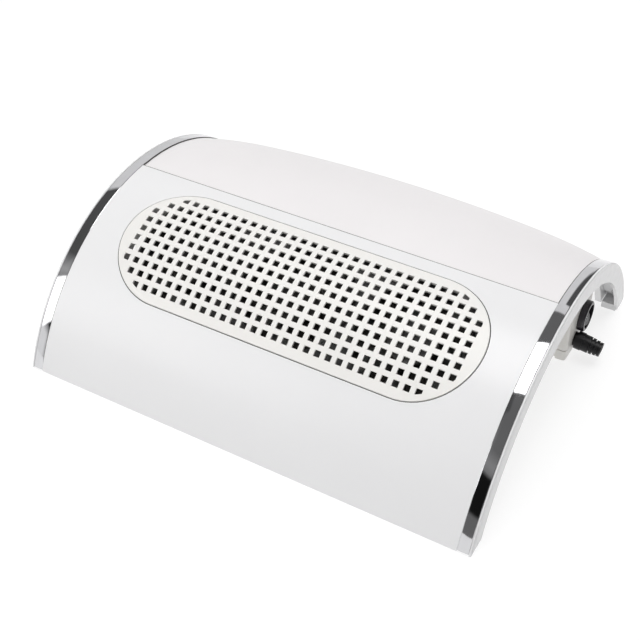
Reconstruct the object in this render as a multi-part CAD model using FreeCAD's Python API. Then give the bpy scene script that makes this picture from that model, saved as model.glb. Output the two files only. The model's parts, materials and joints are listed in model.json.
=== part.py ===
import FreeCAD, Part
import math
import os

# Table-top nail dust collector: an arched shell with a padded hand rest over its rear slope,
# a grille with three fans under its front slope, a dust bag below them and a power bay behind.
# Frame: X across, left to right; Y from front to rear; Z up from the table.  Millimetres.
# Angles on the arch are degrees from straight up about the arch's axis, negative to the front.

V = FreeCAD.Vector
AXIS_X = V(1, 0, 0)

# ---- the arch -------------------------------------------------------------------------
SHELL_R = 146.0            # outer radius of the arch
ARCH_Z = -51.7             # height of the arch's axis over the table
HALF_WIDTH = 162.6         # middle to end face
WALL = 2.8
EDGE_LIFT = 0.8            # lower edges of the shell over the table, left by the feet
END_WALL = 2.5             # thickness of the end flanges
FLANGE_DEPTH = 13.5        # radial depth of the end flanges
RIM_ROUND = 0.7
REAR_ROUND = 3.5           # rounding of the shell's lower rear edge
SHELL_IN = SHELL_R - WALL
FLANGE_IN = SHELL_R - FLANGE_DEPTH

# ---- chrome strips --------------------------------------------------------------------
STRIP_X0 = 153.5           # inner edge of the strip's groove
STRIP_X1 = 161.1           # outer edge of the groove
STRIP_SEAT = SHELL_R - 1.3
STRIP_CROWN = 0.15         # how far the strip domes over the shell
STRIP_FRONT = -68.6        # angles of the strip's ends
STRIP_REAR = 66.0
STRIP_GAP = 0.06

# ---- hand rest ------------------------------------------------------------------------
PAD_FRONT = -3.0           # angle of the pad's straight front edge
PAD_REAR = 60.0
PAD_CROWN_ANGLE = 37.0     # where the pad is thickest
PAD_CROWN = 8.1            # its height over the arch there, at mid width
PAD_END_SHARE = 0.62       # share of the crown left at the rear edge
PAD_EDGE_GAP = 0.28        # degrees between the pad's edge and the recess
PAD_FLOOR = SHELL_R - 4.1  # outer radius of the recess floor
FLOOR_IN = PAD_FLOOR - 2.4 # and its inner radius
BOARD = 2.3                # thickness of the board under the pad
PAD_CLEAR = 0.3

# ---- grille ---------------------------------------------------------------------------
PITCH = 7.6                # hole spacing across; 80 mm fans in a row give 32 holes over 243 mm
ROW_ANGLE = 3.0            # hole spacing down the slope
COLUMNS = 32
ROWS = 10
HOLE = 4.2                 # side of a square hole
SLOPE = -24.25             # angle of the grille's middle
GRILLE_HALF = 17.0 * PITCH
GRILLE_END = 5.62 * PITCH  # half width, and radius of the round ends
GRILLE_GAP = 0.6          # gap round the grille
GRILLE_PROUD = 0.5
GRILLE_IN = SHELL_R - 0.9
HOLE_MARGIN = 3.9          # solid rim outside the hole field
LEDGE = 3.5                # width of the ledge the grille rests on

# ---- fans, in the slope's own frame: x across, s up the slope, n outward ----------------
FAN = 80.0
FAN_PITCH = 81.0
FAN_TOP = 133.0            # distance n of the fans' intake face from the arch's axis
FAN_DEPTH = 25.0
FAN_BOTTOM = FAN_TOP - FAN_DEPTH
FAN_BORE_R = 38.0
FAN_HOLE_AT = 35.75        # fan screw holes, from the fan's centre, both ways
FAN_HOLE_R = 2.15
BLADES = 7
BLADE_TIP_R = 37.2
HUB_R = 17.0
HUB_TOP = FAN_TOP - 1.2
HUB_DEPTH = 19.0
SHAFT_R = 1.5
SHAFT_CLEAR = 0.03
STATOR_BASE = 3.0
STRUTS = 4
FAN_CENTRES = [-FAN_PITCH, 0.0, FAN_PITCH]

DUCT_HALF_X = 123.75       # outside of the duct round the fans
DUCT_HALF_S = 42.75
DUCT_WALL = 2.0
PLATE = 2.5                # outlet plate under the fans
EAR_X = 131.5
POST_AT = (127.0, 32.0)    # duct screws, x and s
POST_R = 3.6
COLLAR_HALF = 122.0
COLLAR_END = 41.0
COLLAR_DEPTH = 12.0

# ---- dust bag -------------------------------------------------------------------------
BAG_WALL = 1.6
BAG_FLOOR = 2.0            # underside of the bag over the table
BAG_MOUTH_HALF = COLLAR_HALF + 4.6
BAG_MOUTH_END = COLLAR_END + 4.6

# ---- power bay ------------------------------------------------------------------------
BAY_HALF = 151.0
BAY_FRONT = 43.0
BAY_REAR = 89.0
BAY_WALL = 2.0
BAY_CORNER = 2.5
BAY_SPLIT = 15.0           # height of the joint between housing and tray
SEAM = 0.6                 # open groove at the joint
TRAY_BOTTOM = 8.4
TRAY_FLOOR = 1.6           # thickness
TRAY_LIP = 0.8             # thickness of the lip that stands up inside the housing
TRAY_END = 6.9             # underside of the two end blocks
TRAY_END_X = 144.0
PILLARS = [(143.0, 50.0), (143.0, 82.0)]
PILLAR_R = 3.5
TRAY_SCREW_SEAT = TRAY_BOTTOM + 3.0
SCREW_R = 1.38             # screws in the pilot holes
PILOT_R = 1.4

SWITCH_Y = 68.3
SWITCH_Z = 30.0
SWITCH_R = 10.9            # bezel
SWITCH_BARREL_R = 9.9
SWITCH_FACE = 4.9          # bezel over the bay's wall
ROCKER_TILT = 12.0
ROCKER_PIVOT_X = BAY_HALF - 1.4

BOARD_Z = 14.5             # underside of the circuit board
BOARD_THICK = 1.6
BOARD_X = (-70.0, 70.0)
BOARD_Y = (47.0, 85.0)
BOARD_HOLES = [(x, y) for x in (-65.0, 65.0) for y in (51.0, 81.0)]

RELIEF_Y = 59.5
RELIEF_Z = 15.2
RELIEF_BORE = 2.9
RELIEF_NECK = 4.85         # in the hole of the wall
RELIEF_GRIP = 5.6          # behind the wall
RELIEF_DROOP = 7.0         # degrees that the sleeve hangs below level

FOOT_R = 4.2
FOOT_AT = [(155.8, -127.0), (155.8, 127.0)]
FOOT_THICK = 1.8

TINY = 0.05
FAR = 400.0


# ---- geometry helpers -------------------------------------------------------------------
def on_arch(radius, angle, x=0.0):
    """The point at this radius and angle on the arch."""
    a = math.radians(angle)
    return V(x, radius * math.sin(a), ARCH_Z + radius * math.cos(a))


def arch_arc(radius, start, end, x=0.0):
    """An arc of the arch as an edge."""
    middle = (start + end) / 2
    return Part.Arc(on_arch(radius, start, x), on_arch(radius, middle, x), on_arch(radius, end, x)).toShape()


def arch_panel(r_in, r_out, start, end, x0, x1):
    """A curved panel between two radii, two angles and two places across."""
    outline = Part.Wire([
        arch_arc(r_out, start, end, x0),
        Part.makeLine(on_arch(r_out, end, x0), on_arch(r_in, end, x0)),
        arch_arc(r_in, end, start, x0),
        Part.makeLine(on_arch(r_in, start, x0), on_arch(r_out, start, x0)),
    ])
    return Part.Face(outline).extrude(V(x1 - x0, 0, 0))


def arch_core(radius, half, low):
    """The solid segment of the arch's cylinder above a height."""
    angle = math.degrees(math.acos((low - ARCH_Z) / radius))
    outline = Part.Wire([
        arch_arc(radius, -angle, angle, -half),
        Part.makeLine(on_arch(radius, angle, -half), on_arch(radius, -angle, -half)),
    ])
    return Part.Face(outline).extrude(V(2 * half, 0, 0))


def block(x0, x1, y0, y1, z0, z1):
    return Part.makeBox(x1 - x0, y1 - y0, z1 - z0, V(x0, y0, z0))


def tube_along(axis, at, r_out, r_in, start, end):
    """A tube along an axis; at is a point whose place along the axis is zero."""
    base = at + axis * start
    outer = Part.makeCylinder(r_out, end - start, base, axis)
    if r_in <= 0:
        return outer
    return outer.cut(Part.makeCylinder(r_in, end - start, base, axis))


def rounded_block(x0, x1, y0, y1, z0, z1, radius):
    """A box with its four upright edges rounded."""
    body = block(x0, x1, y0, y1, z0, z1)
    upright = [e for e in body.Edges if abs(e.tangentAt(e.FirstParameter).z) > 0.99]
    return body.makeFillet(radius, upright)


def stadium_wire(half, end, at=0.0):
    """A slot shape across X with round ends, as a wire in the plane z = at."""
    c = half - end
    return Part.Wire([
        Part.makeLine(V(-c, -end, at), V(c, -end, at)),
        Part.Arc(V(c, -end, at), V(half, 0, at), V(c, end, at)).toShape(),
        Part.makeLine(V(c, end, at), V(-c, end, at)),
        Part.Arc(V(-c, end, at), V(-half, 0, at), V(-c, -end, at)).toShape(),
    ])


def stadium(half, end, low, high):
    return Part.Face(stadium_wire(half, end, low)).extrude(V(0, 0, high - low))


def to_slope(shape, at_x=0.0):
    """Moves a shape from the slope's own frame to its place under the grille."""
    placed = shape.copy()
    placed.rotate(V(0, 0, 0), AXIS_X, -SLOPE)
    placed.translate(V(at_x, 0, ARCH_Z))
    return placed


def mirrored(shape):
    return shape.mirror(V(0, 0, 0), AXIS_X)


def both_sides(shape):
    return [shape, mirrored(shape)]


def screw(axis, at, head_r, head, shank_r, length):
    """A pan-head screw: its head's underside is at the point, its shank runs along the axis."""
    shank = Part.makeCylinder(shank_r, length, at, axis)
    top = Part.makeCylinder(head_r, head, at - axis * head, axis)
    slot = Part.makeCylinder(head_r * 0.35, head * 0.5, at - axis * head, axis)
    return top.fuse(shank).cut(slot).removeSplitter()


def save(name, shape):
    shape.exportStep("parts/%s.step" % name)


def group(shapes):
    return Part.makeCompound(shapes)


# ---- shell ------------------------------------------------------------------------------
def rounded_arch():
    """The arch's outside as a solid, with its rims and its lower rear edge rounded."""
    body = arch_core(SHELL_R, HALF_WIDTH, EDGE_LIFT)
    rear = [e for e in body.Edges if e.CenterOfMass.y > SHELL_R / 2 and abs(e.CenterOfMass.x) < TINY]
    body = body.makeFillet(REAR_ROUND, rear)
    rims = [e for e in body.Edges if abs(abs(e.CenterOfMass.x) - HALF_WIDTH) < TINY]
    return body.makeFillet(RIM_ROUND, rims)


def shell_blank():
    """The arch with its end flanges, hollow and open below."""
    blank = rounded_arch()
    blank = blank.cut(arch_core(SHELL_IN, HALF_WIDTH - END_WALL, -WALL))
    return blank.cut(arch_core(FLANGE_IN, FAR, -WALL))


def chrome_backing():
    """Thicker wall behind each chrome strip, where the groove takes material away."""
    low = SHELL_IN - 1.6
    end = math.degrees(math.acos((EDGE_LIFT - ARCH_Z) / low)) - 0.4
    side = arch_panel(low, SHELL_IN + TINY, -end, end, STRIP_X0 - 2, HALF_WIDTH - END_WALL + TINY)
    return both_sides(side)


def corner_blocks():
    """Blocks inside the four lower corners, which hold the rubber feet."""
    half_x, inner, outer, height = 4.8, 7.5, 12.0, 5.0
    blocks = []
    for x, y in FOOT_AT:
        y0, y1 = (y - inner, y + outer) if y > 0 else (y - outer, y + inner)
        body = block(x - half_x, HALF_WIDTH - 1, y0, y1, EDGE_LIFT, EDGE_LIFT + height)
        blocks += both_sides(body.common(rounded_arch()))
    return blocks


def foot_recesses():
    cuts = []
    for x, y in FOOT_AT:
        hole = tube_along(V(0, 0, 1), V(x, y, 0), FOOT_R + TINY, 0, 0, FOOT_THICK)
        cuts += both_sides(hole)
    return cuts


def grille_seat():
    """The skirt under the grille opening, with the ledge on its top."""
    skirt = stadium(GRILLE_HALF + 2.2, GRILLE_END + 2.2, FAN_TOP + DUCT_WALL + TINY, SHELL_R)
    return to_slope(skirt).common(arch_core(SHELL_IN + TINY, FAR, -WALL))


def grille_opening():
    """Through opening inside the ledge, and the shallow recess that takes the grille."""
    through = stadium(GRILLE_HALF - LEDGE, GRILLE_END - LEDGE, FAN_TOP, SHELL_R + 9)
    recess = stadium(GRILLE_HALF + GRILLE_GAP, GRILLE_END + GRILLE_GAP, FAN_TOP, SHELL_R + 9)
    recess = to_slope(recess).cut(arch_core(GRILLE_IN - TINY, FAR, -WALL))
    return [to_slope(through), recess]


def duct_posts():
    """Short posts under the shell that the duct is screwed to, and their pilot holes."""
    posts, pilots = [], []
    for s in (-POST_AT[1], POST_AT[1]):
        at = V(POST_AT[0], s, 0)
        post = tube_along(V(0, 0, 1), at, POST_R, 0, FAN_TOP + DUCT_WALL, SHELL_R)
        posts += both_sides(to_slope(post).common(arch_core(SHELL_IN + TINY, FAR, -WALL)))
        pilot = tube_along(V(0, 0, 1), at, PILOT_R, 0, FAN_TOP, FAN_TOP + 7.6)
        pilots += both_sides(to_slope(pilot))
    return posts, pilots


def bay_pillars():
    """Long pillars inside the power bay that the tray is screwed to."""
    pillars, pilots = [], []
    for x, y in PILLARS:
        body = tube_along(V(0, 0, 1), V(x, y, 0), PILLAR_R, 0, BAY_SPLIT, SHELL_R)
        pillars += both_sides(body.common(arch_core(PAD_FLOOR - 1, FAR, -WALL)))
        pilots += both_sides(tube_along(V(0, 0, 1), V(x, y, 0), PILOT_R, 0, 0, BAY_SPLIT + 12))
    return pillars, pilots


def rear_ribs():
    """Low ribs that follow the rear wall's inside, from behind the power bay to its lower edge."""
    inner = SHELL_IN - 10
    start = math.degrees(math.asin((BAY_REAR + 2) / inner))
    end = math.degrees(math.acos((EDGE_LIFT + 2 - ARCH_Z) / SHELL_IN))
    rib = arch_panel(inner, SHELL_IN + TINY, start, end, BAY_HALF - 5.5, BAY_HALF - 1)
    return both_sides(rib.common(block(0, FAR, 0, FAR, EDGE_LIFT + 2, FAR)))


def board_screw_places():
    return [(x, angle) for x in (-120.0, 0.0, 120.0) for angle in (4.0, 54.0)]


def top_shell():
    shell = shell_blank()
    margin = 2.5
    floor = arch_panel(FLOOR_IN, SHELL_IN + TINY, PAD_FRONT - margin, PAD_REAR + margin,
                       -STRIP_X0 - margin, STRIP_X0 + margin)
    posts, post_pilots = duct_posts()
    pillars, pillar_pilots = bay_pillars()
    added = [floor, grille_seat()] + chrome_backing() + corner_blocks() + posts + pillars + rear_ribs()
    shell = shell.fuse(added)

    groove = arch_panel(STRIP_SEAT, SHELL_R + 9, STRIP_FRONT - 9, STRIP_REAR + 0.1, STRIP_X0, STRIP_X1)
    recess = arch_panel(PAD_FLOOR, SHELL_R + 9, PAD_FRONT, PAD_REAR, -STRIP_X0 - TINY, STRIP_X0 + TINY)
    raised_edge = block(-BAY_HALF, BAY_HALF, BAY_REAR, SHELL_R, 0, EDGE_LIFT + 2)
    cuts = both_sides(groove) + [recess, raised_edge] + grille_opening() + foot_recesses()
    cuts += post_pilots + pillar_pilots
    for x, angle in board_screw_places():
        outward = on_arch(1, angle) - on_arch(0, angle)
        cuts.append(Part.makeCylinder(1.7, 12, on_arch(PAD_FLOOR - 8, angle, x), outward))
    shell = shell.cut(cuts)
    save("top_shell", shell.removeSplitter())


def chrome_strips():
    """A domed section turned about the arch's axis."""
    x0, x1 = STRIP_X0 + STRIP_GAP, STRIP_X1 - STRIP_GAP
    top = ARCH_Z + SHELL_R
    low = ARCH_Z + STRIP_SEAT + STRIP_GAP
    shoulder = 0.3
    section = Part.Wire([
        Part.makeLine(V(x0, 0, low), V(x1, 0, low)),
        Part.makeLine(V(x1, 0, low), V(x1, 0, top - shoulder)),
        Part.Arc(V(x1, 0, top - shoulder), V((x0 + x1) / 2 + 0.5, 0, top + STRIP_CROWN),
                 V(x0, 0, top)).toShape(),
        Part.makeLine(V(x0, 0, top), V(x0, 0, low)),
    ])
    strip = Part.Face(section)
    strip.rotate(V(0, 0, ARCH_Z), AXIS_X, -STRIP_FRONT)
    strip = strip.revolve(V(0, 0, ARCH_Z), AXIS_X, STRIP_FRONT - STRIP_REAR)
    save("chrome_strip_right", strip)
    save("chrome_strip_left", mirrored(strip))


# ---- hand rest --------------------------------------------------------------------------
def pad_section(x, under):
    """Side profile of the pad at one place across; it swells over the arch towards mid width."""
    crown = PAD_CROWN * (1 - (x / STRIP_X0) ** 2)
    front, rear = PAD_FRONT + PAD_EDGE_GAP, PAD_REAR - PAD_EDGE_GAP
    edge = SHELL_R - 0.1
    top = [on_arch(edge, front, x), on_arch(edge + crown, PAD_CROWN_ANGLE, x),
           on_arch(edge + crown * PAD_END_SHARE, rear, x)]
    return Part.Wire([
        Part.Arc(*top).toShape(),
        Part.makeLine(top[2], on_arch(under, rear, x)),
        arch_arc(under, rear, front, x),
        Part.makeLine(on_arch(under, front, x), top[0]),
    ])


def hand_rest():
    board_top = PAD_FLOOR + TINY + BOARD
    limit = STRIP_X0 - 0.3
    front, rear = PAD_FRONT + PAD_EDGE_GAP, PAD_REAR - PAD_EDGE_GAP
    board = arch_panel(PAD_FLOOR + TINY, board_top, front, rear, -limit, limit)
    screws = []
    for x, angle in board_screw_places():
        outward = on_arch(1, angle) - on_arch(0, angle)
        seat = on_arch(FLOOR_IN - TINY, angle, x)
        board = board.cut(Part.makeCylinder(PILOT_R, 12, seat, outward))
        screws.append(screw(outward, seat, 3.0, 1.8, SCREW_R, 4.5))
    places = [-limit, -120.0, -60.0, 0.0, 60.0, 120.0, limit]
    pad = Part.makeLoft([pad_section(x, board_top + PAD_CLEAR) for x in places], True, False)
    save("pad_board", board)
    save("hand_rest_pad", pad)
    save("pad_screws", group(screws))


# ---- grille -----------------------------------------------------------------------------
def grille_holes():
    """Square holes in rows down the slope, clipped to the stadium-shaped hole field."""
    rows = []
    for row in range(ROWS):
        angle = SLOPE + ROW_ANGLE * (row - (ROWS - 1) / 2)
        short = {0: 2, 1: 1, ROWS - 2: 1, ROWS - 1: 2}.get(row, 0)
        reach = (COLUMNS - 1) / 2 - short
        for i in range(int(2 * reach) + 1):
            x = (i - reach) * PITCH
            hole = Part.makeBox(HOLE, HOLE, 12, V(x - HOLE / 2, -HOLE / 2, GRILLE_IN - 6))
            hole.rotate(V(0, 0, 0), AXIS_X, -angle)
            hole.translate(V(0, 0, ARCH_Z))
            rows.append((hole, abs(x) > 13 * PITCH))
    inner = [hole for hole, at_end in rows if not at_end]
    outer = [hole for hole, at_end in rows if at_end]
    field = to_slope(stadium(GRILLE_HALF - HOLE_MARGIN, GRILLE_END - HOLE_MARGIN, 120, 160))
    return inner + [hole.common(field) for hole in outer]


def grille():
    plate = stadium(GRILLE_HALF, GRILLE_END, FAN_TOP, SHELL_R + 5)
    plate = to_slope(plate).common(arch_panel(GRILLE_IN, SHELL_R + GRILLE_PROUD, -60, 15, -FAR, FAR))
    crest = [e for e in plate.Edges if rim_radius(e) > SHELL_R + GRILLE_PROUD - TINY]
    plate = plate.makeFillet(GRILLE_PROUD * 0.9, crest)
    save("grille", plate.cut(grille_holes()))


def rim_radius(edge):
    """Least distance of an edge's ends from the arch's axis."""
    return min(math.hypot(v.Point.y, v.Point.z - ARCH_Z) for v in edge.Vertexes)


# ---- fans -------------------------------------------------------------------------------
def fan_frame():
    """Square 80 mm frame: two corner flanges, a round tunnel and struts to the motor base."""
    up = V(0, 0, 1)
    half = FAN / 2
    flange = 4.0
    frame = tube_along(up, V(0, 0, 0), half, 0, FAN_BOTTOM, FAN_TOP)
    for low in (FAN_BOTTOM, FAN_TOP - flange):
        frame = frame.fuse(rounded_block(-half, half, -half, half, low, low + flange, 4.5))
    frame = frame.cut(tube_along(up, V(0, 0, 0), FAN_BORE_R, 0, FAN_BOTTOM - 1, FAN_TOP + 1))
    base = tube_along(up, V(0, 0, 0), HUB_R, 0, FAN_BOTTOM, FAN_BOTTOM + STATOR_BASE)
    sleeve = tube_along(up, V(0, 0, 0), 4.5, 0, FAN_BOTTOM, FAN_BOTTOM + 15)
    struts = []
    for i in range(STRUTS):
        strut = block(HUB_R - 1, FAN_BORE_R + 1, -1.6, 1.6, FAN_BOTTOM, FAN_BOTTOM + STATOR_BASE)
        strut.rotate(V(0, 0, 0), up, 360.0 / STRUTS * i + 45)
        struts.append(strut)
    frame = frame.fuse([base, sleeve] + struts)
    bore = tube_along(up, V(0, 0, 0), 3.02, 0, FAN_BOTTOM + 2, FAN_TOP)
    holes = []
    for x in (-FAN_HOLE_AT, FAN_HOLE_AT):
        for s in (-FAN_HOLE_AT, FAN_HOLE_AT):
            holes.append(tube_along(up, V(x, s, 0), FAN_HOLE_R, 0, FAN_BOTTOM - 1, FAN_TOP + 1))
    return frame.cut([bore] + holes).removeSplitter()


def blade():
    """One twisted blade, lofted from its root to its tip."""
    sections = []
    mid = HUB_TOP - HUB_DEPTH / 2
    shape = ((HUB_R - 1.0, 15.0, 48.0), ((HUB_R + BLADE_TIP_R) / 2, 19.0, 40.0), (BLADE_TIP_R, 23.0, 32.0))
    for radius, chord, pitch in shape:
        thick = 1.3
        corners = [V(-chord / 2, 0, -thick / 2), V(chord / 2, 0, -thick / 2),
                   V(chord / 2, 0, thick / 2), V(-chord / 2, 0, thick / 2)]
        wire = Part.makePolygon(corners + corners[:1])
        wire.rotate(V(0, 0, 0), V(0, 1, 0), pitch)
        wire.translate(V(0, radius, mid))
        sections.append(wire)
    tips = tube_along(V(0, 0, 1), V(0, 0, 0), BLADE_TIP_R, 0, FAN_BOTTOM, FAN_TOP)
    return Part.makeLoft(sections, True, False).common(tips)


def impeller():
    """Cup-shaped hub over the motor, with the blades round it."""
    up = V(0, 0, 1)
    hub = tube_along(up, V(0, 0, 0), HUB_R, 0, HUB_TOP - HUB_DEPTH, HUB_TOP)
    rim = [e for e in hub.Edges if e.CenterOfMass.z > HUB_TOP - TINY]
    hub = hub.makeFillet(1.2, rim)
    blades = []
    for i in range(BLADES):
        one = blade()
        one.rotate(V(0, 0, 0), up, 360.0 / BLADES * i)
        blades.append(one)
    cup = tube_along(up, V(0, 0, 0), HUB_R - 2, 0, HUB_TOP - HUB_DEPTH - 1, HUB_TOP - 2)
    seat = tube_along(up, V(0, 0, 0), 3.2, 0, HUB_TOP - 5, HUB_TOP - 1)
    bore = tube_along(up, V(0, 0, 0), SHAFT_R, 0, HUB_TOP - HUB_DEPTH, HUB_TOP - 1.5)
    return hub.fuse(blades).cut(cup).fuse(seat).cut(bore).removeSplitter()


def stator():
    """Four-pole winding on the motor sleeve."""
    up = V(0, 0, 1)
    ring = tube_along(up, V(0, 0, 0), 7.0, 4.55, FAN_BOTTOM + 4, FAN_BOTTOM + 14)
    poles = []
    for i in range(4):
        arm = block(5, 11, -2.5, 2.5, FAN_BOTTOM + 5.5, FAN_BOTTOM + 12.5)
        shoe = block(11, 12.5, -5, 5, FAN_BOTTOM + 4.5, FAN_BOTTOM + 13.5)
        for piece in (arm, shoe):
            piece.rotate(V(0, 0, 0), up, 90.0 * i)
            poles.append(piece)
    round_off = tube_along(up, V(0, 0, 0), 12.6, 4.55, FAN_BOTTOM + 4, FAN_BOTTOM + 14)
    return ring.fuse(poles).common(round_off).removeSplitter()


def fans():
    up = V(0, 0, 1)
    frame, rotor, winding = fan_frame(), impeller(), stator()
    bearing = tube_along(up, V(0, 0, 0), 3.0, SHAFT_R + SHAFT_CLEAR, FAN_BOTTOM + 2.05, FAN_BOTTOM + 15)
    shaft = tube_along(up, V(0, 0, 0), SHAFT_R, 0, FAN_BOTTOM + 2.5, HUB_TOP - 1.5)
    magnet = tube_along(up, V(0, 0, 0), HUB_R - 2, HUB_R - 3.8, HUB_TOP - HUB_DEPTH + 1, HUB_TOP - 5)
    for i, x in enumerate(FAN_CENTRES, start=1):
        save("fan_frame_%d" % i, to_slope(frame, x))
        save("fan_impeller_%d" % i, to_slope(rotor, x))
        save("fan_stator_%d" % i, to_slope(winding, x))
        save("fan_bearing_%d" % i, to_slope(bearing, x))
        save("fan_shaft_%d" % i, to_slope(shaft, x))
        save("fan_magnet_%d" % i, to_slope(magnet, x))


# ---- duct round the fans ------------------------------------------------------------------
def post_places():
    x, s = POST_AT
    return [V(px, ps, 0) for px in (-x, x) for ps in (-s, s)]


def fan_duct():
    """Open box round the fans, with a plate on top that closes against the grille's skirt."""
    up = V(0, 0, 1)
    walls = block(-DUCT_HALF_X, DUCT_HALF_X, -DUCT_HALF_S, DUCT_HALF_S, FAN_BOTTOM, FAN_TOP)
    inner_x, inner_s = DUCT_HALF_X - DUCT_WALL, DUCT_HALF_S - DUCT_WALL
    top = block(-EAR_X, EAR_X, -DUCT_HALF_S, DUCT_HALF_S, FAN_TOP, FAN_TOP + DUCT_WALL)
    posts = [tube_along(up, at, POST_R, 0, FAN_BOTTOM, FAN_TOP) for at in post_places()]
    duct = walls.fuse([top] + posts)
    cavity = block(-inner_x, inner_x, -inner_s, inner_s, FAN_BOTTOM - 1, FAN_TOP)
    window = stadium(GRILLE_HALF - LEDGE, GRILLE_END - LEDGE, FAN_TOP - 1, FAN_TOP + 9)
    holes = [tube_along(up, at, 1.7, 0, FAN_BOTTOM - 1, FAN_TOP + 9) for at in post_places()]
    return duct.cut([cavity, window] + holes).removeSplitter()


def outlet_plate():
    """Plate under the fans with a round outlet each, and one collar round them for the bag."""
    up = V(0, 0, 1)
    under = FAN_BOTTOM - PLATE
    plate = block(-EAR_X, EAR_X, -DUCT_HALF_S, DUCT_HALF_S, under, FAN_BOTTOM)
    collar = stadium(COLLAR_HALF, COLLAR_END, under - COLLAR_DEPTH, under)
    collar = collar.fuse(stadium(COLLAR_HALF + 0.6, COLLAR_END + 0.6, under - COLLAR_DEPTH,
                                 under - COLLAR_DEPTH + 2))
    collar = collar.cut(stadium(COLLAR_HALF - 2, COLLAR_END - 2, under - COLLAR_DEPTH, under))
    plate = plate.fuse(collar)
    cuts = [tube_along(up, V(x, 0, 0), FAN_BORE_R, 0, under - 1, FAN_BOTTOM + 1) for x in FAN_CENTRES]
    cuts += [tube_along(up, at, 1.7, 0, under - 1, FAN_BOTTOM + 1) for at in post_places()]
    cuts += [tube_along(up, at, FAN_HOLE_R, 0, under - 1, FAN_BOTTOM + 1) for at in fan_screw_places()]
    return plate.cut(cuts).removeSplitter()


def fan_screw_places():
    corners = [(a, b) for a in (-FAN_HOLE_AT, FAN_HOLE_AT) for b in (-FAN_HOLE_AT, FAN_HOLE_AT)]
    return [V(x + a, b, 0) for x in FAN_CENTRES for a, b in corners]


def duct_parts():
    up = V(0, 0, 1)
    under = V(0, 0, FAN_BOTTOM - PLATE - TINY)
    fan_screws = [screw(up, at + under, 3.0, 1.8, FAN_HOLE_R - TINY, 10.0) for at in fan_screw_places()]
    duct_screws = [screw(up, at + under, 3.0, 1.8, SCREW_R, 34.0) for at in post_places()]
    save("fan_duct", to_slope(fan_duct()))
    save("outlet_plate", to_slope(outlet_plate()))
    save("fan_screws", to_slope(group(fan_screws)))
    save("duct_screws", to_slope(group(duct_screws)))


# ---- dust bag -----------------------------------------------------------------------------
def bag_section(half, width, tilt, y, z):
    """A slot-shaped section of the bag, tilted about X; its middle is at y, z."""
    wire = stadium_wire(half, width)
    wire.rotate(V(0, 0, 0), AXIS_X, tilt)
    wire.translate(V(0, y, z))
    return wire


def bag_form(inset):
    """The bag's shape, from its mouth round the collar down to its slack bottom."""
    top = FAN_BOTTOM - PLATE - 3.0
    neck = []
    for level in (top if inset == 0 else top + 1, top - COLLAR_DEPTH + 1):
        wire = stadium_wire(BAG_MOUTH_HALF - inset, BAG_MOUTH_END - inset)
        wire.translate(V(0, 0, level))
        neck.append(to_slope(wire))
    body = [bag_section(BAG_MOUTH_HALF + 1 - inset, 54.0 - inset, 17.0, -40.5, 27.0 + inset * 0.3),
            bag_section(BAG_MOUTH_HALF - inset, 64.0 - inset, 9.0, -38.5, 18.5 + inset * 0.3),
            bag_section(BAG_MOUTH_HALF - 3 - inset, 68.0 - inset, 3.0, -37.5, 10.5 + inset * 0.6),
            bag_section(BAG_MOUTH_HALF - 7 - inset, 66.0 - inset, 1.0, -37.0, BAG_FLOOR + 3.5 + inset * 0.8),
            bag_section(BAG_MOUTH_HALF - 15 - inset, 58.0 - inset, 0.0, -37.0, BAG_FLOOR + inset)]
    return Part.makeLoft(neck + body, True, True)


def dust_bag():
    """Fabric bag with an open mouth, and the elastic band that holds it on the collar."""
    level = FAN_BOTTOM - PLATE - COLLAR_DEPTH + 3.0
    band_out, band_in = 2.7, 0.9
    band = stadium(COLLAR_HALF + band_out, COLLAR_END + band_out, level, level + 4)
    band = band.cut(stadium(COLLAR_HALF + band_in, COLLAR_END + band_in, level, level + 4))
    save("dust_bag", bag_form(0).cut(bag_form(BAG_WALL)))
    save("bag_elastic", to_slope(band))


# ---- power bay ------------------------------------------------------------------------------
def relief_hole():
    centre = V(0, RELIEF_Y, RELIEF_Z)
    through = tube_along(AXIS_X, centre, RELIEF_NECK + 0.1, 0, BAY_HALF - BAY_WALL - 1, BAY_HALF + 1)
    room = tube_along(AXIS_X, centre, RELIEF_GRIP + 0.1, 0, BAY_HALF - 5, BAY_HALF - BAY_WALL - TINY)
    return through.fuse(room)


def bay_box(inset, low, high):
    """The power bay's plan, inset on every side, between two heights."""
    return rounded_block(-BAY_HALF + inset, BAY_HALF - inset, BAY_FRONT + inset, BAY_REAR - inset,
                         low, high, max(BAY_CORNER - inset, 1.0))


def power_housing():
    housing = bay_box(0, BAY_SPLIT + SEAM / 2, SHELL_R).cut(bay_box(BAY_WALL, 0, SHELL_R + 1))
    housing = housing.common(arch_core(FLOOR_IN - 0.3, FAR, -WALL))
    barrel = V(0, SWITCH_Y, SWITCH_Z)
    hole = tube_along(AXIS_X, barrel, SWITCH_BARREL_R + 0.1, 0, BAY_HALF - 4, BAY_HALF + 1)
    save("power_housing", housing.cut([hole, relief_hole()]))


def tray_shell():
    """The tray's floor and walls, its two end blocks, and the lip that lines the seam."""
    floor = TRAY_BOTTOM + TRAY_FLOOR
    tray = bay_box(0, TRAY_END, BAY_SPLIT - SEAM / 2)
    tray = tray.cut(block(-TRAY_END_X, TRAY_END_X, 0, SHELL_R, 0, TRAY_BOTTOM))
    tray = tray.cut(bay_box(BAY_WALL, floor, BAY_SPLIT))
    lip_top = BAY_SPLIT + 1.5
    lip = bay_box(BAY_WALL + TINY, floor - TINY, lip_top)
    return tray.fuse(lip.cut(bay_box(BAY_WALL + TRAY_LIP, floor - 1, lip_top + 1)))


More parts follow.
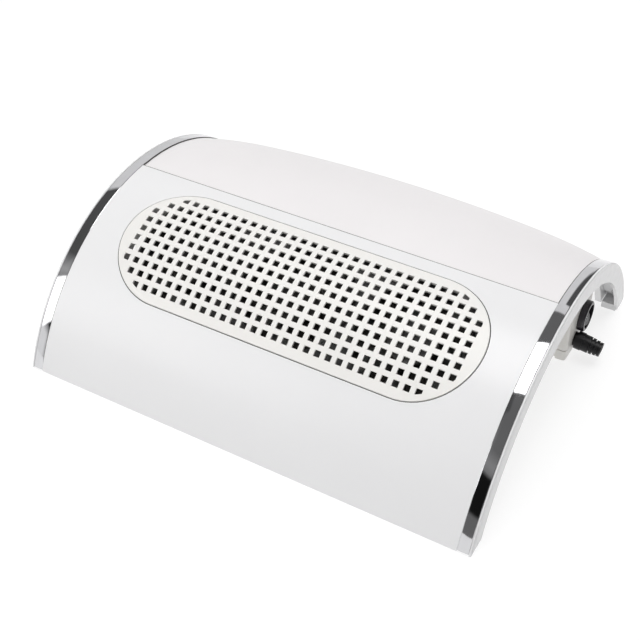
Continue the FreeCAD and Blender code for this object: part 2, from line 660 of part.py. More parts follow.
def bottom_tray():
    floor = TRAY_BOTTOM + TRAY_FLOOR
    posts, holes = [], []
    up = V(0, 0, 1)
    for x, y in PILLARS:
        post = tube_along(up, V(x, y, 0), PILLAR_R + 0.7, 0, floor - TINY, BAY_SPLIT - TINY)
        posts += both_sides(post.common(bay_box(1, 0, BAY_SPLIT)))
        holes += both_sides(tube_along(up, V(x, y, 0), 1.6, 0, 0, BAY_SPLIT + 1))
        holes += both_sides(tube_along(up, V(x, y, 0), 3.1, 0, 0, TRAY_SCREW_SEAT))
    posts += [tube_along(up, V(x, y, 0), 3.0, 0, floor - TINY, BOARD_Z) for x, y in BOARD_HOLES]
    holes += [tube_along(up, V(x, y, 0), PILOT_R, 0, floor, BOARD_Z + 1) for x, y in BOARD_HOLES]
    tray = tray_shell().fuse(posts).cut(holes + [relief_hole()])
    save("bottom_tray", tray.removeSplitter())


def power_supply():
    """Circuit board with its transformer, capacitors, bridge, fuse and terminal block."""
    up = V(0, 0, 1)
    top = BOARD_Z + BOARD_THICK
    board = block(BOARD_X[0], BOARD_X[1], BOARD_Y[0], BOARD_Y[1], BOARD_Z, top)
    board = board.cut([tube_along(up, V(x, y, 0), 1.7, 0, 0, top + 1) for x, y in BOARD_HOLES])
    core = block(-48, -8, 54, 80, top, top + 34)
    window = block(-42, -14, 50, 84, top + 6, top + 28)
    limb = block(-33, -23, 54, 80, top + 5, top + 29)
    coil = rounded_block(-41.9, -14.1, 50.5, 83.5, top + 6.1, top + 27.9, 2.0)
    coil = coil.cut(block(-33.1, -22.9, 53.9, 80.1, top, top + 40))
    caps = [tube_along(up, V(x, y, 0), 6.3, 0, top, top + 22) for x, y in ((10, 58), (10, 74), (26, 58))]
    terminal = block(48, 60, 55, 77, top, top + 11)
    ports = [block(46, 53, y, y + 4, top + 2, top + 6) for y in (57, 64, 71)]
    heads = [tube_along(up, V(56, y + 2, 0), 1.8, 0, top + 8, top + 12) for y in (57, 64, 71)]
    fuse = tube_along(AXIS_X, V(0, 74, top + 4), 2.6, 0, 22, 42)
    clips = [block(x, x + 3, 71, 77, top, top + 4) for x in (23, 38)]
    fuse_set = fuse.fuse(clips)
    save("power_board", board)
    save("transformer_core", core.cut(window).fuse(limb).removeSplitter())
    save("transformer_coil", coil)
    save("capacitors", group(caps))
    save("terminal_block", terminal.cut(ports + heads))
    save("fuse", fuse_set.removeSplitter())
    seat = top + TINY
    save("board_screws", group([screw(-up, V(x, y, seat), 2.6, 1.6, SCREW_R, 4.5) for x, y in BOARD_HOLES]))


def tray_screws():
    up = V(0, 0, 1)
    screws = []
    for x, y in PILLARS:
        one = screw(up, V(x, y, TRAY_SCREW_SEAT - TINY), 2.8, 1.8, SCREW_R, 14.0)
        screws += both_sides(one)
    save("tray_screws", group(screws))


# ---- switch and cord exit -------------------------------------------------------------------
def switch_body():
    """Round snap-in barrel with a raised bezel and a well for the rocker."""
    centre = V(0, SWITCH_Y, SWITCH_Z)
    wall = BAY_HALF
    barrel = tube_along(AXIS_X, centre, SWITCH_BARREL_R, 0, wall - 17, wall)
    bezel = tube_along(AXIS_X, centre, SWITCH_R, 0, wall + TINY, wall + SWITCH_FACE)
    outer = [e for e in bezel.Edges if e.CenterOfMass.x > wall + SWITCH_FACE - TINY]
    bezel = bezel.makeFillet(1.4, outer)
    neck = tube_along(AXIS_X, centre, SWITCH_BARREL_R, 0, wall - 1, wall + 1)
    well = tube_along(AXIS_X, centre, 8.6, 0, wall - 10, wall + SWITCH_FACE + 1)
    pivot = Part.makeCylinder(1.05, 19, V(ROCKER_PIVOT_X, SWITCH_Y - 9.5, SWITCH_Z), V(0, 1, 0))
    body = barrel.fuse([bezel, neck]).cut([well, pivot])
    save("switch_body", body.removeSplitter())


def switch_rocker():
    """Shallow V-faced rocker on two stub pivots, resting on its off side."""
    x = ROCKER_PIVOT_X
    profile = [V(x - 2.2, 0, -6.6), V(x + 4.9, 0, -7.3), V(x + 3.6, 0, 0), V(x + 4.9, 0, 7.3),
               V(x - 2.2, 0, 6.6)]
    face = Part.Face(Part.makePolygon(profile + profile[:1]))
    face.translate(V(0, -6.5, 0))
    rocker = face.extrude(V(0, 13, 0))
    rocker = rocker.common(tube_along(AXIS_X, V(0, 0, 0), 7.3, 0, x - 9, x + 9))
    stub = Part.makeCylinder(1.0, 18.4, V(x, -9.2, 0), V(0, 1, 0))
    rocker = rocker.fuse(stub).removeSplitter()
    rocker.rotate(V(x, 0, 0), V(0, 1, 0), -ROCKER_TILT)
    rocker.translate(V(0, SWITCH_Y, SWITCH_Z))
    save("switch_rocker", rocker)


def switch_terminals():
    x = BAY_HALF - 17
    blades = [block(x - 8, x - TINY, SWITCH_Y - 2.4, SWITCH_Y + 2.4, SWITCH_Z + z - 0.4, SWITCH_Z + z + 0.4)
              for z in (-5.0, 5.0)]
    save("switch_terminals", group(blades))


def strain_relief():
    """Rubber sleeve that grips the wall, with a broad collar, a plain body and ribs at its tip."""
    wall = BAY_HALF
    grip = [(wall - 4.0, wall - BAY_WALL - 2 * TINY, RELIEF_GRIP), (wall - 2.2, wall + 2.6, RELIEF_NECK)]
    rings = [(wall + 1.5, wall + 6.2, 6.35), (wall + 6.1, wall + 11.2, 5.9), (wall + 11.1, wall + 19.0, 4.3)]
    for start, radius in ((12.0, 5.7), (14.8, 5.3), (17.4, 5.0)):
        rings.append((wall + start, wall + start + 2.0, radius))
    centre = V(0, RELIEF_Y, RELIEF_Z)
    hung = [tube_along(AXIS_X, centre, radius, 0, start, end) for start, end, radius in rings]
    hung.append(tube_along(AXIS_X, centre, RELIEF_NECK, 0, wall + 0.4, wall + 2))
    bore = tube_along(AXIS_X, centre, RELIEF_BORE, 0, wall - 1, wall + 30)
    for piece in hung + [bore]:
        piece.rotate(V(wall, RELIEF_Y, RELIEF_Z), V(0, 1, 0), RELIEF_DROOP)
    sleeve = tube_along(AXIS_X, centre, grip[0][2], 0, grip[0][0], grip[0][1])
    sleeve = sleeve.fuse([tube_along(AXIS_X, centre, grip[1][2], 0, grip[1][0], grip[1][1])] + hung)
    sleeve = sleeve.cut([bore, tube_along(AXIS_X, centre, RELIEF_BORE, 0, wall - 9, wall + 1)])
    save("strain_relief", sleeve.removeSplitter())


def rubber_feet():
    up = V(0, 0, 1)
    feet = []
    for x, y in FOOT_AT:
        feet += both_sides(tube_along(up, V(x, y, 0), FOOT_R, 0, 0, FOOT_THICK - TINY))
    save("rubber_feet", group(feet))


def main():
    os.makedirs("parts", exist_ok=True)
    top_shell()
    chrome_strips()
    hand_rest()
    grille()
    fans()
    duct_parts()
    dust_bag()
    power_housing()
    bottom_tray()
    power_supply()
    tray_screws()
    switch_body()
    switch_rocker()
    switch_terminals()
    strain_relief()
    rubber_feet()


main()
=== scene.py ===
import json
import math

import bmesh
import bpy
from mathutils import Matrix, Quaternion, Vector


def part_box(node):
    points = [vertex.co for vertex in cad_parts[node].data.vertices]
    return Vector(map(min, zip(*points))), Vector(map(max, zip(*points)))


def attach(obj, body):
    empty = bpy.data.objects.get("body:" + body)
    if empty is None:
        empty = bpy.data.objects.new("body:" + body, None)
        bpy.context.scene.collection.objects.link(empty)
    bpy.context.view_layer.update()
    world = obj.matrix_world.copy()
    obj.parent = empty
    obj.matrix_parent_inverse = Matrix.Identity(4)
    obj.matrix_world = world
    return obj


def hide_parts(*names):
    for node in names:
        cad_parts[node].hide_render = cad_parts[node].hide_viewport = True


# Looks of a table-top nail dust collector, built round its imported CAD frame.
# Metres; X across, Y from front to rear, Z up from the table.

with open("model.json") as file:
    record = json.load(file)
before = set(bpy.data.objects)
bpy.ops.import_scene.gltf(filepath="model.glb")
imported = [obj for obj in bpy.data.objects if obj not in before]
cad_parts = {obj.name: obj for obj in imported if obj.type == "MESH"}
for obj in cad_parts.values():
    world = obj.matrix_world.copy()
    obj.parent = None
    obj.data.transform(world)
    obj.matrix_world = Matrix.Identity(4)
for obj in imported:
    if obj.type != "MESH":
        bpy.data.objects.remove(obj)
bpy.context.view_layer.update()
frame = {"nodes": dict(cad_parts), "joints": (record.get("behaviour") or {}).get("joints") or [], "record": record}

MM = 0.001

# ---- places taken from the frame -------------------------------------------------------
joints = {joint["name"]: joint for joint in frame["joints"]}
strip_low, strip_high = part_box("chrome_strip_right")
pad_low, pad_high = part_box("hand_rest_pad")

# ---- the arch: its axis runs along X under the table ------------------------------------
SHELL_R = 146.0 * MM
ARCH_Z = -51.7 * MM


def on_arch(radius, degrees, x):
    """Point at a radius and an angle from straight up about the arch's axis."""
    a = math.radians(degrees)
    return Vector((x, radius * math.sin(a), ARCH_Z + radius * math.cos(a)))


def arch_out(point):
    """Outward direction from the arch's axis at a point."""
    return Vector((0, point.y, point.z - ARCH_Z)).normalized()


# ---- the slope that holds the grille, fans, collar and bag -------------------------------
SLOPE_OUT = Vector(joints["grille_lift"]["axis"]).normalized()
SLOPE_UP = Vector((0, SLOPE_OUT.z, -SLOPE_OUT.y))


def on_slope(x, s, n):
    """Point x across, s up the slope and n out from the arch's axis."""
    return Vector((x, 0, ARCH_Z)) + SLOPE_UP * s + SLOPE_OUT * n


def stadium(half, end, count):
    """Even points round a slot shape with round ends, with the outward direction at each."""
    straight = half - end
    length = 4 * straight + 2 * math.pi * end
    points = []
    for k in range(count):
        d = length * k / count
        if d < 2 * straight:
            points.append((-straight + d, -end, 0.0, -1.0))
            continue
        d -= 2 * straight
        if d < math.pi * end:
            a = d / end - math.pi / 2
            points.append((straight + end * math.cos(a), end * math.sin(a),
                           math.cos(a), math.sin(a)))
            continue
        d -= math.pi * end
        if d < 2 * straight:
            points.append((straight - d, end, 0.0, 1.0))
            continue
        a = (d - 2 * straight) / end + math.pi / 2
        points.append((-straight + end * math.cos(a), end * math.sin(a),
                       math.cos(a), math.sin(a)))
    return points


# ---- mesh helpers -----------------------------------------------------------------------
SAME_POINT = 1e-7                       # metres


def new_object(name, mesh, smooth=True):
    piece = bpy.data.objects.new(name, mesh)
    bpy.context.scene.collection.objects.link(piece)
    if smooth:
        mesh.shade_smooth()
    return piece


def skin(name, rings, close_rings=True, caps=False):
    """A mesh through rings of points, each joined to the next."""
    count = len(rings[0])
    points = [p for ring in rings for p in ring]
    faces = []
    for i in range(len(rings) - 1):
        for j in range(count if close_rings else count - 1):
            k = (j + 1) % count
            faces.append((i * count + j, i * count + k,
                          (i + 1) * count + k, (i + 1) * count + j))
    if caps:
        faces.append(tuple(range(count))[::-1])
        faces.append(tuple(range((len(rings) - 1) * count, len(rings) * count)))
    mesh = bpy.data.meshes.new(name)
    mesh.from_pydata(points, [], faces)
    outward(mesh)
    return mesh


def outward(mesh):
    """Merges points that coincide, and turns every face outward."""
    work = bmesh.new()
    work.from_mesh(mesh)
    bmesh.ops.remove_doubles(work, verts=work.verts, dist=SAME_POINT)
    bmesh.ops.recalc_face_normals(work, faces=work.faces)
    work.to_mesh(mesh)
    work.free()


def keep_shape(piece, modifier):
    """Applies a modifier, so that the piece's mesh itself has the shape."""
    shaped = bpy.data.meshes.new_from_object(
        piece.evaluated_get(bpy.context.evaluated_depsgraph_get()))
    piece.modifiers.remove(modifier)
    piece.data = shaped
    return shaped


def subdivide(piece, levels):
    modifier = piece.modifiers.new("smooth", "SUBSURF")
    modifier.levels = modifier.render_levels = levels
    keep_shape(piece, modifier).shade_smooth()


def thicken(piece, thickness):
    """Gives a sheet of cloth its thickness, with a closed rim."""
    modifier = piece.modifiers.new("thickness", "SOLIDIFY")
    modifier.thickness = thickness
    modifier.offset = 0.0
    shaped = keep_shape(piece, modifier)
    outward(shaped)
    shaped.shade_smooth()


# ---- materials --------------------------------------------------------------------------
MIX_SHARE, MIX_A, MIX_B, MIX_COLOUR = 0, 6, 7, 2     # sockets of a Mix node set to colour
METAL_MARKS = 0.15                      # how far a metal's roughness wanders, as a share


def shader(name, colour, rough, **sockets):
    """A Principled material with its plain numbers on the shader's own sockets."""
    material = bpy.data.materials.new(name)
    material.use_nodes = True
    principled = material.node_tree.nodes["Principled BSDF"]
    principled.inputs["Base Color"].default_value = (*colour, 1)
    principled.inputs["Roughness"].default_value = rough
    for socket, value in sockets.items():
        principled.inputs[socket.replace("_", " ")].default_value = value
    return material, principled


def add(material, kind, **settings):
    """A new node; each setting is one of its properties or one of its input sockets."""
    node = material.node_tree.nodes.new(kind)
    for key, value in settings.items():
        if hasattr(node, key):
            setattr(node, key, value)
        else:
            node.inputs[key.replace("_", " ")].default_value = value
    return node


def join(material, source, target):
    material.node_tree.links.new(source, target)


def noise(material, scale, detail=3.0, rough=0.5, stretch=(1, 1, 1)):
    """A noise pattern in the object's own metres; stretch makes it finer along an axis."""
    place = add(material, "ShaderNodeTexCoord")
    mapping = add(material, "ShaderNodeMapping")
    mapping.inputs["Scale"].default_value = stretch
    pattern = add(material, "ShaderNodeTexNoise", Scale=scale, Detail=detail, Roughness=rough)
    join(material, place.outputs["Object"], mapping.inputs["Vector"])
    join(material, mapping.outputs["Vector"], pattern.inputs["Vector"])
    return pattern.outputs["Fac"]


def ranged(material, value, low, high, start=0.3, end=0.7):
    """A pattern's value spread over a range."""
    spread = add(material, "ShaderNodeMapRange")
    spread.inputs["From Min"].default_value = start
    spread.inputs["From Max"].default_value = end
    spread.inputs["To Min"].default_value = low
    spread.inputs["To Max"].default_value = high
    join(material, value, spread.inputs["Value"])
    return spread.outputs["Result"]


def tinted(material, principled, value, colour_a, colour_b):
    """Base colour that wanders between two near shades with a pattern."""
    mix = add(material, "ShaderNodeMix", data_type="RGBA")
    mix.inputs[MIX_A].default_value = (*colour_a, 1)
    mix.inputs[MIX_B].default_value = (*colour_b, 1)
    join(material, value, mix.inputs[MIX_SHARE])
    join(material, mix.outputs[MIX_COLOUR], principled.inputs["Base Color"])


def bumped(material, principled, value, strength, distance, onto=None):
    """A bump from a pattern, on top of another bump where one is given."""
    bump = add(material, "ShaderNodeBump")
    bump.inputs["Strength"].default_value = strength
    bump.inputs["Distance"].default_value = distance
    join(material, value, bump.inputs["Height"])
    if onto is not None:
        join(material, onto.outputs["Normal"], bump.inputs["Normal"])
    join(material, bump.outputs["Normal"], principled.inputs["Normal"])
    return bump


def shade(colour, by):
    """A colour made darker or lighter."""
    return tuple(min(1.0, c * by) for c in colour)


def moulded(name, colour, rough, variation=0.03, grain=0.0, grain_scale=900.0, **sockets):
    """Moulded plastic: faint flow marks in colour and gloss, and a grain where it is textured."""
    material, principled = shader(name, colour, rough, **sockets)
    flow = noise(material, 22.0, detail=4.0)
    tinted(material, principled, ranged(material, flow, 0, 1),
           shade(colour, 1 - variation), colour)
    fine = noise(material, 160.0, detail=3.0)
    gloss = ranged(material, fine, rough * 0.88, rough * 1.14)
    join(material, gloss, principled.inputs["Roughness"])
    wave = bumped(material, principled, noise(material, 45.0, detail=1.0), 0.06, 0.0004)
    if grain:
        texture = noise(material, grain_scale, detail=2.0)
        bumped(material, principled, texture, grain, 0.00012, wave)
    return material


def metal(name, colour, rough, brushed=(1, 1, 1)):
    """Metal with fine marks, drawn out along one axis where it is brushed or turned."""
    material, principled = shader(name, colour, rough, Metallic=1.0)
    lines = noise(material, 420.0, detail=3.0, stretch=brushed)
    low, high = rough * (1 - METAL_MARKS), rough * (1 + METAL_MARKS)
    join(material, ranged(material, lines, low, high), principled.inputs["Roughness"])
    broad = ranged(material, noise(material, 60.0), 0, 1)
    tinted(material, principled, broad, shade(colour, 0.93), colour)
    bumped(material, principled, lines, 0.05, 0.00005)
    return material


def leather_material():
    """Smooth synthetic leather: closed pores, a faint pebble and a soft sheen."""
    colour = (0.825, 0.805, 0.810)
    material, principled = shader("pad_leather", colour, 0.42,
                                  Sheen_Weight=0.15, Sheen_Roughness=0.4)
    place = add(material, "ShaderNodeTexCoord")
    pebble = add(material, "ShaderNodeTexVoronoi", Scale=1100.0, feature="SMOOTH_F1")
    join(material, place.outputs["Object"], pebble.inputs["Vector"])
    broad = noise(material, 14.0, detail=3.0)
    tinted(material, principled, ranged(material, broad, 0, 1), shade(colour, 0.975), colour)
    gloss = ranged(material, noise(material, 240.0), 0.38, 0.47)
    join(material, gloss, principled.inputs["Roughness"])
    soft = bumped(material, principled, broad, 0.10, 0.0006)
    bumped(material, principled, pebble.outputs["Distance"], 0.12, 0.00010, soft)
    return material


def cloth_material(name, colour, bands):
    """Cloth: two crossed wave patterns, 0.314 m / bands apart, and a soft mottle."""
    material, principled = shader(name, colour, 0.85, Sheen_Weight=0.3, Sheen_Roughness=0.6)
    place = add(material, "ShaderNodeTexCoord")
    heights = []
    for axis in ("X", "Y"):
        thread = add(material, "ShaderNodeTexWave", bands_direction=axis)
        thread.inputs["Scale"].default_value = bands
        thread.inputs["Distortion"].default_value = 0.6
        join(material, place.outputs["Object"], thread.inputs["Vector"])
        heights.append(thread.outputs["Fac"])
    weave = add(material, "ShaderNodeMath", operation="MAXIMUM")
    join(material, heights[0], weave.inputs[0])
    join(material, heights[1], weave.inputs[1])
    mottle = noise(material, 35.0, detail=5.0)
    tinted(material, principled, ranged(material, mottle, 0, 1), shade(colour, 0.9), colour)
    bumped(material, principled, weave.outputs[0], 0.35, 0.0003)
    return material


def laminate_material():
    """Circuit board: green mask with a faint copper pattern under it."""
    material, principled = shader("board_green", (0.03, 0.17, 0.08), 0.3)
    tracks = add(material, "ShaderNodeTexBrick", offset=0.5)
    tracks.inputs["Color1"].default_value = (0.025, 0.15, 0.07, 1)
    tracks.inputs["Color2"].default_value = (0.035, 0.20, 0.09, 1)
    tracks.inputs["Mortar"].default_value = (0.06, 0.27, 0.12, 1)
    tracks.inputs["Scale"].default_value = 70.0
    place = add(material, "ShaderNodeTexCoord")
    join(material, place.outputs["Object"], tracks.inputs["Vector"])
    join(material, tracks.outputs["Color"], principled.inputs["Base Color"])
    return material


def wound_material(name, colour, bands, rough, metallic):
    """A winding or a stack of laminations: even ridges, 0.314 m / bands apart."""
    material, principled = shader(name, colour, rough, Metallic=metallic)
    place = add(material, "ShaderNodeTexCoord")
    ridges = add(material, "ShaderNodeTexWave", bands_direction="Z")
    ridges.inputs["Scale"].default_value = bands
    join(material, place.outputs["Object"], ridges.inputs["Vector"])
    # the grooves between the ridges are painted darker, to 0.6 of the colour: painted shade between the turns or
    # sheets
    tinted(material, principled, ridges.outputs["Fac"], shade(colour, 0.6), colour)
    bumped(material, principled, ridges.outputs["Fac"], 0.5, 0.0002)
    return material


def fibre_material():
    """Fibreboard: short pale fibres."""
    colour = (0.56, 0.43, 0.29)
    material, principled = shader("pad_board", colour, 0.7)
    fibres = noise(material, 300.0, detail=6.0, stretch=(1, 3, 3))
    tinted(material, principled, ranged(material, fibres, 0, 1), shade(colour, 0.75), colour)
    bumped(material, principled, fibres, 0.3, 0.0002)
    return material


def glass_material():
    """Clear glass of the fuse's tube, faintly uneven."""
    material, principled = shader("fuse_glass", (0.9, 0.95, 0.95), 0.03, IOR=1.5)
    principled.inputs["Transmission Weight"].default_value = 0.9
    bumped(material, principled, noise(material, 300.0), 0.03, 0.0001)
    return material


def make_materials():
    """The finish of each material slot in the record."""
    white = (0.805, 0.805, 0.812)
    return {
        "shell_white": moulded("shell_white", white, 0.24, 0.012, Specular_IOR_Level=0.30),
        "chrome_trim": metal("chrome_trim", (0.66, 0.66, 0.675), 0.045),
        "grille_cream": moulded("grille_cream", (0.82, 0.81, 0.785), 0.38, 0.02, grain=0.10),
        "pad_leather": leather_material(),
        "pad_board": fibre_material(),
        "duct_white": moulded("duct_white", (0.78, 0.78, 0.76), 0.45, 0.03, grain=0.15),
        "fan_black": moulded("fan_black", (0.040, 0.037, 0.036), 0.42, 0.2, grain=0.15),
        "blade_black": moulded("blade_black", (0.045, 0.042, 0.040), 0.22, 0.2),
        "copper_winding": wound_material("copper_winding", (0.70, 0.33, 0.16), 120.0, 0.35, 0.9),
        "bearing_bronze": metal("bearing_bronze", (0.60, 0.44, 0.22), 0.35),
        "steel_shaft": metal("steel_shaft", (0.62, 0.62, 0.64), 0.22, brushed=(1, 8, 8)),
        "magnet_grey": moulded("magnet_grey", (0.10, 0.095, 0.095), 0.6, 0.15, grain=0.3),
        "bag_fabric": cloth_material("bag_fabric", (0.80, 0.80, 0.78), 75.0),
        "elastic_white": cloth_material("elastic_white", (0.72, 0.72, 0.70), 130.0),
        "bay_white": moulded("bay_white", (0.80, 0.785, 0.75), 0.34, 0.02,
                             Coat_Weight=0.15, Coat_Roughness=0.2),
        "board_green": laminate_material(),
        "core_steel": wound_material("core_steel", (0.16, 0.16, 0.17), 90.0, 0.5, 0.6),
        "coil_tape": moulded("coil_tape", (0.74, 0.56, 0.10), 0.3, 0.12),
        "capacitor_sleeve": moulded("capacitor_sleeve", (0.03, 0.035, 0.07), 0.28, 0.1),
        "terminal_green": moulded("terminal_green", (0.06, 0.30, 0.14), 0.4, 0.08, grain=0.1),
        "fuse_glass": glass_material(),
        "switch_black": moulded("switch_black", (0.018, 0.015, 0.021), 0.22, 0.2, grain=0.05),
        "mark_grey": moulded("mark_grey", (0.30, 0.30, 0.31), 0.5, 0.05),
        "contact_brass": metal("contact_brass", (0.72, 0.58, 0.30), 0.3),
        "relief_rubber": moulded("relief_rubber", (0.010, 0.010, 0.011), 0.38, 0.2, grain=0.15,
                                 Specular_IOR_Level=0.3),
        # near-black bead material, painted shade: it stands for the shade inside the gaps round the hand rest and
        # the grille
        "gap_shade_dark": moulded("gap_shade_dark", (0.09, 0.088, 0.084), 0.9, 0.15, grain=0.4,
                             grain_scale=1500.0, Specular_IOR_Level=0.1),
        "foot_rubber": moulded("foot_rubber", (0.13, 0.13, 0.14), 0.75, 0.1, grain=0.3),
        "screw_steel": metal("screw_steel", (0.56, 0.56, 0.57), 0.3),
    }


materials = make_materials()


def paint(piece, slot_name):
    """Gives a piece the finish of one of the record's material slots."""
    piece.data.materials.clear()
    piece.data.materials.append(materials[slot_name])


def paint_frame():
    """Every CAD node takes the finish of its own material slot."""
    slots = {row["node"]: row["material_slot"] for row in frame["record"]["subparts"]}
    for name, node in frame["nodes"].items():
        node.data.materials.clear()
        node.data.materials.append(materials[slots[name]])


# ---- hand rest: padded synthetic leather -------------------------------------------------
PAD_FRONT, PAD_REAR = -2.72, 59.72      # degrees on the arch
PAD_SEAM_R = 145.5 * MM                 # where the cover meets the shell's recess
PAD_UNDER_R = 144.6 * MM                # on the board
PAD_CROWN = 8.4 * MM                    # a parabola from end to end
PAD_EDGE_RISE = 3.4 * MM                # and a flat-topped rise that starts close to its two ends
PAD_EDGE_POWER = 12
PAD_CROWN_ANGLE = 37.0                  # where it is highest
PAD_REAR_SHARE = 0.62                   # share of the crown that is left at the rear edge
PAD_SLACK = 1.3 * MM                    # how far the foam pushes the cover out
PAD_SLACK_REACH = 10 / 3                # cells from an edge to the full slack
PAD_CELL = 5.0 * MM
PAD_ROLL = 1.4 * MM                     # narrow cell at each edge, for a tight rolled edge


def circle_through(p, q, r):
    """Centre and radius of the circle through three points in a plane."""
    ax, ay, bx, by, cx, cy = *p, *q, *r
    d = 2 * (ax * (by - cy) + bx * (cy - ay) + cx * (ay - by))
    a, b, c = ax * ax + ay * ay, bx * bx + by * by, cx * cx + cy * cy
    x = (a * (by - cy) + b * (cy - ay) + c * (ay - by)) / d
    y = (a * (cx - bx) + b * (ax - cx) + c * (bx - ax)) / d
    return x, y, math.hypot(ax - x, ay - y)


def pad_height(angle, x):
    """Radius of the pad's surface from the arch's axis, from a circular side profile."""
    share = abs(x / pad_high.x)
    crown = PAD_CROWN * (1 - share ** 2) + PAD_EDGE_RISE * (1 - share ** PAD_EDGE_POWER)
    marks = ((PAD_FRONT, 0.0), (PAD_CROWN_ANGLE, crown), (PAD_REAR, crown * PAD_REAR_SHARE))
    points = []
    for mark, rise in marks:
        a = math.radians(mark)
        points.append(((PAD_SEAM_R + rise) * math.sin(a), (PAD_SEAM_R + rise) * math.cos(a)))
    cx, cy, radius = circle_through(*points)
    a = math.radians(angle)
    along_ray = cx * math.sin(a) + cy * math.cos(a)
    square = along_ray ** 2 - (cx * cx + cy * cy - radius * radius)
    return along_ray + math.sqrt(max(0.0, square))


def spaced(low, high, cell, border):
    """Even steps with one narrow step at each end."""
    count = max(2, round((high - low - 2 * border) / cell))
    inner = [low + border + (high - low - 2 * border) * i / count for i in range(count + 1)]
    return [low] + inner + [high]


def pad_cage(slack):
    """The cover as one closed cage: crowned top, short walls and an underside on the board."""
    per_metre = math.degrees(1 / SHELL_R)
    columns = spaced(pad_low.x, pad_high.x, PAD_CELL, PAD_ROLL)
    rows = spaced(PAD_FRONT, PAD_REAR, PAD_CELL * per_metre, PAD_ROLL * per_metre)
    points, faces, pinned = [], [], []
    last_column, last_row = len(columns) - 1, len(rows) - 1
    for top in (True, False):
        for i, x in enumerate(columns):
            for j, angle in enumerate(rows):
                at_edge = i in (0, last_column) or j in (0, last_row)
                radius = pad_height(angle, x) if top else PAD_UNDER_R
                if top and not at_edge:
                    cells_in = min(i, last_column - i, j, last_row - j)
                    radius -= slack * min(1.0, cells_in / PAD_SLACK_REACH)
                points.append(on_arch(radius, angle, x))
                pinned.append(not top or at_edge)
    across = len(rows)
    half = len(columns) * across
    for i in range(last_column):
        for j in range(last_row):
            a = i * across + j
            faces.append((a, a + across, a + across + 1, a + 1))
            faces.append((half + a, half + a + 1, half + a + across + 1, half + a + across))
    border = [i * across for i in range(last_column)]
    border += [last_column * across + j for j in range(last_row)]
    border += [i * across + last_row for i in range(last_column, 0, -1)]
    border += [j for j in range(last_row, 0, -1)]
    for k, a in enumerate(border):
        b = border[(k + 1) % len(border)]
        faces.append((a, half + a, half + b, b))
    mesh = bpy.data.meshes.new("hand_rest")
    mesh.from_pydata(points, [], faces)
    outward(mesh)
    return mesh, pinned


def simulate_cloth(piece, pinned, pressure, frames, cap,
                   gravity=0.0, shrink=0.0, floor_z=None):
    """Lets a cover find its shape as cloth and keeps it; no point moves further than cap."""
    group = piece.vertex_groups.new(name="pinned")
    group.add([i for i, held in enumerate(pinned) if held], 1.0, "REPLACE")
    rest = [v.co.copy() for v in piece.data.vertices]
    cloth = piece.modifiers.new("cloth", "CLOTH")
    settings = cloth.settings
    settings.quality = 6
    settings.mass = 0.25
    settings.tension_stiffness = settings.compression_stiffness = 20
    settings.shear_stiffness = 12
    settings.bending_stiffness = 2.0
    settings.air_damping = 4
    settings.vertex_group_mass = "pinned"
    settings.use_pressure = pressure != 0
    settings.uniform_pressure_force = pressure
    settings.shrink_min = settings.shrink_max = shrink
    settings.effector_weights.gravity = gravity
    cloth.collision_settings.use_collision = False
    cloth.point_cache.frame_start, cloth.point_cache.frame_end = 1, frames
    scene = bpy.context.scene
    for number in range(1, frames + 1):
        scene.frame_set(number)
    shaped = piece.evaluated_get(bpy.context.evaluated_depsgraph_get()).to_mesh()
    found = [v.co.copy() for v in shaped.vertices]
    piece.modifiers.remove(cloth)
    scene.frame_set(1)
    for vertex, start, end in zip(piece.data.vertices, rest, found):
        move = end - start
        if move.length > cap:
            move *= cap / move.length
        vertex.co = start + move
        if floor_z is not None:
            vertex.co.z = max(vertex.co.z, floor_z)
    piece.vertex_groups.clear()


def hand_rest():
    mesh, pinned = pad_cage(PAD_SLACK)
    piece = new_object("hand_rest", mesh)
    simulate_cloth(piece, pinned, pressure=4.0, frames=20, cap=1.6 * MM)
    subdivide(piece, 2)
    paint(piece, "pad_leather")
    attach(piece, "base")
    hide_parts("hand_rest_pad")


# ---- chrome strips ------------------------------------------------------------------------
STRIP_INNER_X = 153.56 * MM
STRIP_WIDTH = 7.48 * MM                 # at most
STRIP_LOW_R = 144.78 * MM
STRIP_FRONT, STRIP_REAR = -68.55, 65.95     # degrees on the arch
STRIP_STEPS = 180
STRIP_CROWN = 0.11 * MM                 # how far its face is domed
STRIP_CROWN_STEPS = 24
STRIP_ROLL = 0.6 * MM                   # radius of the strip's outer edge
STRIP_ROLL_STEPS = 8
STRIP_EASE = 0.12 * MM                  # softness of its inner edge
STRIP_CORNER = 50.0                     # degrees; a sharper edge than this is shaded as a corner


def strip_profile():
    """Nearly flat section: (distance across from the inner edge, radius); closed."""
    width = min(strip_high.x - strip_low.x, STRIP_WIDTH)
    dome = []
    for k in range(STRIP_CROWN_STEPS + 1):
        t = k / STRIP_CROWN_STEPS
        rise = STRIP_CROWN * math.sin(math.pi * t)
        dome.append((STRIP_EASE + (width - STRIP_EASE - STRIP_ROLL) * t, SHELL_R + rise))
    start, end = dome[0][1], dome[-1][1]
    inner = [(0.0, STRIP_LOW_R), (0.0, start - STRIP_EASE),
             (0.3 * STRIP_EASE, start - 0.3 * STRIP_EASE)]
    outer = []
    for k in range(1, STRIP_ROLL_STEPS + 1):
        a = math.radians(90 * k / STRIP_ROLL_STEPS)
        outer.append((width - STRIP_ROLL * (1 - math.sin(a)),
                      end - STRIP_ROLL * (1 - math.cos(a))))
    return inner + dome + outer + [(width, STRIP_LOW_R)]


